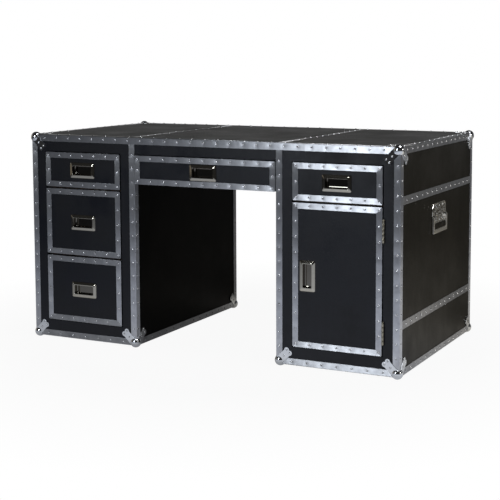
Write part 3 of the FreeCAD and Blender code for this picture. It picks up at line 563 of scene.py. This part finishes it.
# %% Hammered plates
plate_skin = 0.7325
grid_step = 0.002
blow_size = 0.008
blow_depth = 0.0018
blow_steepness = 1.6
plate_rivets = [Vector((y, z)) for y in (-0.036, 0, 0.036) for z in (0.4855, 0.5345)]
rivet_seat = 0.005


def plate_skins(bm):
    """The faces that the two plates show outwards."""
    return [face for face in bm.faces if abs(face.normal.x) > 0.99
            and abs(abs(face.calc_center_median().x) - plate_skin) < 1e-5]


def hammer(bm):
    """Cut the outer skins of the handle plates into a grid, and push it in where a blow fell."""
    for axis in (1, 2):
        places = [vert.co[axis] for face in plate_skins(bm) for vert in face.verts]
        facing = Vector((0, axis == 1, axis == 2))
        for step in range(1, math.ceil((max(places) - min(places)) / grid_step)):
            skins = plate_skins(bm)
            edges = dict.fromkeys(edge for face in skins for edge in face.edges)
            verts = dict.fromkeys(vert for face in skins for vert in face.verts)
            cut = min(places) + step * grid_step
            bmesh.ops.bisect_plane(bm, geom=[*skins, *edges, *verts], dist=cut_distance,
                                   plane_co=facing * cut, plane_no=facing)
    skins = dict.fromkeys(plate_skins(bm))
    for vert in dict.fromkeys(vert for face in skins for vert in face.verts):
        if all(face in skins for face in vert.link_faces):
            from_rivet = min((Vector(vert.co.yz) - rivet).length for rivet in plate_rivets)
            from_middle = noise.voronoi(vert.co / blow_size)[0][0]
            clear = min(1.0, max(0.0, from_rivet / rivet_seat - 1))
            bowl = max(0.0, 1 - blow_steepness * from_middle ** 2)
            vert.co.x -= math.copysign(blow_depth * (clear * bowl), vert.co.x)
    return len(skins)


# %% [markdown]
# Now each plated piece is made in turn: hollows first, then outer edges, then mitres or blows.
# Only the pins of the hinges stay as the CAD has them, because their leaves hide them.

# %% Plated pieces in place
curved_facet = 1e-4
pan_radius = 0.004
press_radius = 0.0009
mitre_band = 0.0045
for node in slot_nodes["chrome"]:
    if node != "hinge_pins":
        bm = merged_copy(node)
        if node.endswith("_pull"):
            ease(bm, pan_edges(bm), pan_radius, segments=4)
        ease(bm, sharp_edges(bm), press_radius, segments=2)
        if node.endswith("_pull"):
            print(node, "mitres banded", band_mitres(bm, mitre_band))
        if node == "handle_plates":
            print(node, "faces hammered", hammer(bm))
        stand_in(bm, node, (plated.get(node, nickel),), curved_facet)
print("eased", len(slot_nodes["chrome"]) - 1, "plated nodes")

# %% [markdown]
# The desk stands on white paper. The camera sees the paper as plain white with a soft shadow. The
# metal mirrors the paper too, but in the photograph's studio only a pool of light lies on it, on
# the right, and it falls off to the left and far away, so what metal sees of the floor is dimmer
# than what the camera sees. It is also a little blue in front, where the daylight is, and warmer
# and shaded behind the desk. The Light Path node tells the two kinds of ray apart, and a round
# falloff on the floor's own coordinates makes the pool.

# %% The floor
floor_reach = 6.0
floor_glow = 0.72
floor_gloom = 0.03
floor_mesh = bpy.data.meshes.new("floor")
sheet = bmesh.new()
bmesh.ops.create_grid(sheet, x_segments=1, y_segments=1, size=floor_reach)
sheet.to_mesh(floor_mesh)
sheet.free()
floor = bpy.data.objects.new("floor", floor_mesh)
bpy.context.scene.collection.objects.link(floor)
paper = Finish("floor_paper", Base_Color=(0.33, 0.34, 0.36, 1), Roughness=0.9,
               Specular_IOR_Level=0.1)
seen = paper.node("ShaderNodeLightPath", output="Is Camera Ray")
mirrored = paper.node("ShaderNodeLightPath", output="Is Glossy Ray")
spot = paper.node("ShaderNodeTexCoord", output="Object")
beside = paper.node("ShaderNodeSeparateXYZ", None, {"Vector": spot}, "X")
before = paper.node("ShaderNodeSeparateXYZ", None, {"Vector": spot}, "Y")
off_middle = beside.maths("ABSOLUTE")
# painted shadow: the glow that metal sees is darkened under and behind the desk
under = paper.within(off_middle, 0.85, 0.6) * paper.within(before.maths("ABSOLUTE"), 0.5, 0.3)
behind = paper.within(before, 0.38, 0.62) * paper.within(before, 1.6, 0.9)
behind = behind * paper.within(off_middle, 1.15, 0.8)
pool = paper.node("ShaderNodeMapping", None, {"Vector": spot, "Location": (-1.3, 0.5, 0)})
radius = paper.node("ShaderNodeVectorMath", {"operation": "LENGTH"}, {0: pool}, "Value")
shaded = under.maths("MAXIMUM", behind)
# painted pool of light on the floor, with the painted shadow taken out of it
lit = paper.within(radius, 4.2, 0.9) * paper.within(before, 2.6, 0.2) * (1 - 0.9 * shaded)
out_there = paper.node("ShaderNodeVectorMath", {"operation": "LENGTH"}, {0: spot}, "Value")
far_off = paper.within(out_there, 0.8, 1.6)
cool, warm = (0.92, 0.97, 1.08, 1), (1.05, 1.0, 0.90, 1)
tint = paper.blend(mirrored, (1, 1, 1, 1), paper.blend(paper.within(before, -0.8, 0.4), cool, warm))
level = seen + mirrored * (floor_gloom + lit * floor_glow)
shine = paper.node("ShaderNodeVectorMath", {"operation": "SCALE"}, {0: tint, "Scale": level})
glow = paper.node("ShaderNodeEmission", None, {"Color": shine})
mixed = paper.node("ShaderNodeMixShader", None, {
    0: seen * (0.94 + 0.06 * far_off) + mirrored, 1: Field(paper.shader.outputs[0]), 2: glow})
paper.tree.links.new(mixed.socket, paper.tree.nodes["Material Output"].inputs["Surface"])
floor_mesh.materials.append(paper.material)
print("floor", 2 * floor_reach, "m wide")

# %% [markdown]
# Behind the desk hangs white paper too, which the camera sees as white. Metal is shown a dimmer
# room, as in the photograph: the foot of the paper behind, a warm wall on the left, and darkness
# elsewhere. Dull surfaces get a low even fill. All of it is a sum over the direction that a ray
# takes.

# %% The room around it
fill_level = 0.05
dark_level = 0.03
backdrop_level = 0.38
wall_level = 0.22
world = bpy.data.worlds.new("studio")
bpy.context.scene.world = world
world.use_nodes = True
studio = Wiring(world.node_tree)
ahead = studio.node("ShaderNodeTexCoord", output="Generated")
to_right = studio.node("ShaderNodeSeparateXYZ", None, {"Vector": ahead}, "X")
to_back = studio.node("ShaderNodeSeparateXYZ", None, {"Vector": ahead}, "Y")
upwards = studio.node("ShaderNodeSeparateXYZ", None, {"Vector": ahead}, "Z")
backdrop = studio.within(to_back, -0.15, 0.35) * studio.within(upwards, 0.45, 0.05)
backdrop = backdrop * (0.4 + 0.6 * studio.within(to_right, 0.4, 0.0))
wall = studio.within(to_right, -0.75, -0.95)
camera_ray = studio.node("ShaderNodeLightPath", output="Is Camera Ray")
metal_ray = studio.node("ShaderNodeLightPath", output="Is Glossy Ray")
glass_ray = studio.node("ShaderNodeLightPath", output="Is Transmission Ray")
mirrored_room = dark_level + backdrop_level * backdrop + wall_level * wall
straight = camera_ray.maths("MAXIMUM", glass_ray)
level = straight + (1 - straight) * (fill_level + metal_ray * (mirrored_room - fill_level))
warmth = metal_ray * wall
tint = studio.node("ShaderNodeMix", {"data_type": "RGBA"},
                   {0: warmth, 6: (1, 1, 1, 1), 7: (1.0, 0.9, 0.75, 1)}, 2)
background = studio.tree.nodes["Background"]
studio.tree.links.new(tint.socket, background.inputs["Color"])
studio.tree.links.new(level.socket, background.inputs["Strength"])
print("room levels", dark_level, backdrop_level, wall_level)

# %% [markdown]
# Four soft lamps light it. A tall narrow one in front on the left makes the level strips of the
# right pedestal flash white while the uprights stay grey, which is how brushed metal shows its
# grain. One on the right warms the side, and one overhead lights the top and draws the shadow. A
# small one high in front hardly lights anything, but bright plate and rivet heads mirror it as a
# spark on their upper edges.

# %% The lamps
def softbox(name, place, target, width, height, watts, colour=(1, 1, 1)):
    """A rectangular lamp turned to face a point."""
    lamp = bpy.data.lights.new(name, "AREA")
    lamp.shape = "RECTANGLE"
    lamp.size = width
    lamp.size_y = height
    lamp.energy = watts
    lamp.color = colour
    stand = bpy.data.objects.new(name, lamp)
    stand.location = place
    stand.rotation_euler = (Vector(target) - Vector(place)).to_track_quat("-Z", "Y").to_euler()
    bpy.context.scene.collection.objects.link(stand)
    return stand


softbox("key", (-1.0, -4.2, 1.75), (0.3, -0.4, 1.3), 0.5, 2.0, 50, (0.88, 0.94, 1.0))
softbox("side", (4.6, -0.2, 1.6), (0.5, 0, 0.4), 0.8, 0.9, 25, (1.0, 0.95, 0.86))
softbox("overhead", (1.7, -0.5, 4.2), (0.2, 0, 0.5), 1.4, 1.2, 80)
softbox("spark", (-0.5, -4.2, 3.0), (-0.3, -0.4, 0.6), 0.5, 0.4, 9, (0.92, 0.96, 1.0))
print("lamps", [lamp.name for lamp in bpy.data.lights])

# %% [markdown]
# The camera was found from the photograph: the corners of the desk, whose places the CAD model
# knows, were matched with their pixels, and the lens, the three directions of the camera and its
# place were solved together. The photograph was cropped off centre, which the two shifts of the
# lens repeat.

# %% The camera
camera = bpy.data.cameras.new("camera")
camera.lens = 87.78
camera.sensor_width = 36.0
camera.shift_x = -0.0662
camera.shift_y = -0.154
stand = bpy.data.objects.new("camera", camera)
right = Vector((0.90037, 0.43513, -0.00132))
down = Vector((0.04282, -0.09163, -0.99487))
forward = Vector((-0.43302, 0.89569, -0.10113))
turn = Matrix((right, -down, -forward)).transposed()
stand.matrix_world = Matrix.Translation((2.08854, -4.06731, 1.08098)) @ turn.to_4x4()
bpy.context.scene.collection.objects.link(stand)
bpy.context.scene.camera = stand

bpy.context.scene.view_settings.view_transform = "Standard"
print("camera", [round(c, 2) for c in stand.matrix_world.translation], "lens", camera.lens)
